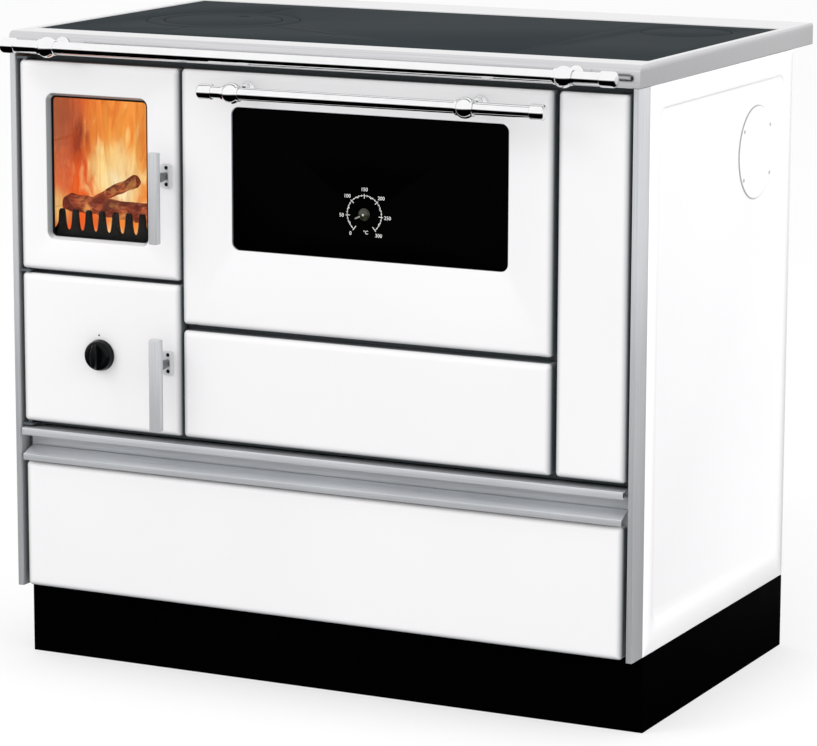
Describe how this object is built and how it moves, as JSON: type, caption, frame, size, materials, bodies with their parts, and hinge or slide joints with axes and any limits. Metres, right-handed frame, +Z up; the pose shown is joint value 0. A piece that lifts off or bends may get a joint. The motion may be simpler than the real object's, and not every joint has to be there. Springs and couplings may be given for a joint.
{
  "type": "wood cookstove",
  "caption": "Free-standing wood cookstove: glazed fire door over an ash door, oven with a drop-down glass door, cast hob with lift-off ring, wood drawer, black plinth.",
  "frame": {"origin": "on the floor under the middle of the bounding box", "axes": "+X to the right as seen from the front, +Y to the back, +Z up"},
  "size_m": [0.9, 0.6596, 0.85],
  "materials": {
    "white_enamel": "glossy vitreous enamel",
    "black_enamel": "black enamel, semi-gloss",
    "aluminium": "brushed aluminium sections",
    "polished_steel": "polished stainless steel",
    "chrome": "bright chrome",
    "hob_iron": "ground cast iron, satin",
    "dark_sheet": "dark grey heat-proof paint",
    "cast_iron": "raw black cast iron",
    "sheet_steel": "plain sheet steel",
    "firebrick": "matt fireclay",
    "seal_rope": "woven glass fibre rope",
    "fire_glass": "clear ceramic glass",
    "black_glass": "opaque black glass",
    "black_plastic": "glossy black",
    "white_paint": "white paint"
  },
  "bodies": {
    "stove_body": {"plinth": "black_enamel", "left_side_panel": "white_enamel", "right_side_panel": "white_enamel", "side_flue_cover": "white_enamel", "back_panel": "sheet_steel", "left_post": "aluminium", "right_post": "aluminium", "front_frame": "dark_sheet", "ash_door_hinge_pin": "sheet_steel", "fire_door_hinge_pin": "sheet_steel", "oven_door_hinge_rod": "sheet_steel", "top_frame": "polished_steel", "hob_plate_left": "hob_iron", "hob_plate_right": "hob_iron", "hob_flue_cover": "hob_iron", "front_rail": "chrome", "rail_bracket_left": "chrome", "rail_bracket_right": "chrome", "middle_panel": "white_enamel", "narrow_panel": "white_enamel", "trim_channel": "aluminium", "firebox_shell": "sheet_steel", "firebrick_left": "firebrick", "firebrick_right": "firebrick", "firebrick_back": "firebrick", "grate": "cast_iron", "ash_pan": "sheet_steel", "oven_box": "black_enamel", "oven_rack": "chrome", "smoke_casing": "sheet_steel", "flue_collar": "black_enamel", "left_drawer_rail": "sheet_steel", "right_drawer_rail": "sheet_steel"},
    "fire_door": {"fire_door_panel": "white_enamel", "fire_door_glass": "fire_glass", "fire_door_liner": "dark_sheet", "fire_door_seal": "seal_rope", "fire_guard": "cast_iron", "fire_latch_plate": "sheet_steel"},
    "fire_lever": {"fire_door_lever": "aluminium"},
    "ash_door": {"ash_door_panel": "white_enamel", "ash_door_liner": "dark_sheet", "ash_latch_plate": "sheet_steel"},
    "ash_lever": {"ash_door_lever": "aluminium"},
    "air_control": {"air_knob": "black_plastic", "air_shutter": "sheet_steel"},
    "oven_door": {"oven_door_panel": "white_enamel", "oven_door_glass": "black_glass", "oven_door_liner": "dark_sheet", "oven_door_handle": "chrome", "handle_bracket_left": "chrome", "handle_bracket_right": "chrome", "thermometer_body": "sheet_steel"},
    "thermometer": {"thermometer_needle": "white_paint"},
    "wood_drawer": {"drawer_front": "white_enamel", "drawer_grip": "aluminium", "drawer_box": "sheet_steel"},
    "hob_ring": {"hob_ring": "hob_iron"},
    "hob_lid": {"hob_lid": "hob_iron"}
  },
  "joints": [
    {"name": "fire_door_hinge", "type": "hinge", "parent": "stove_body", "child": "fire_door", "pos_m": [-0.43, -0.26425, 0.6735], "axis": [0, 0, -1], "range_deg": [0, 110]},
    {"name": "fire_lever_pivot", "type": "hinge", "parent": "fire_door", "child": "fire_lever", "pos_m": [-0.2135, -0.29025, 0.6725], "axis": [0, 1, 0], "range_deg": [0, 22]},
    {"name": "ash_door_hinge", "type": "hinge", "parent": "stove_body", "child": "ash_door", "pos_m": [-0.43, -0.26425, 0.4287], "axis": [0, 0, -1], "range_deg": [0, 110]},
    {"name": "ash_lever_pivot", "type": "hinge", "parent": "ash_door", "child": "ash_lever", "pos_m": [-0.2135, -0.29025, 0.4257], "axis": [0, 1, 0], "range_deg": [0, 22]},
    {"name": "air_knob_turn", "type": "hinge", "parent": "ash_door", "child": "air_control", "pos_m": [-0.3155, -0.27025, 0.4275], "axis": [0, 1, 0], "range_deg": [0, 90]},
    {"name": "oven_door_hinge", "type": "hinge", "parent": "stove_body", "child": "oven_door", "pos_m": [0, -0.26025, 0.488], "axis": [1, 0, 0], "range_deg": [0, 90]},
    {"name": "thermometer_needle_turn", "type": "hinge", "parent": "oven_door", "child": "thermometer", "pos_m": [0.073, -0.27025, 0.641], "axis": [0, 1, 0], "range_deg": [-20, 250], "stiffness_Nm_per_rad": 0.002},
    {"name": "wood_drawer_slide", "type": "slide", "parent": "stove_body", "child": "wood_drawer", "axis": [0, -1, 0], "range_m": [0, 0.4]},
    {"name": "hob_ring_lift", "type": "slide", "parent": "stove_body", "child": "hob_ring", "axis": [0, 0, 1], "range_m": [0, 0.06]},
    {"name": "hob_lid_lift", "type": "slide", "parent": "hob_ring", "child": "hob_lid", "axis": [0, 0, 1], "range_m": [0, 0.06]}
  ]
}
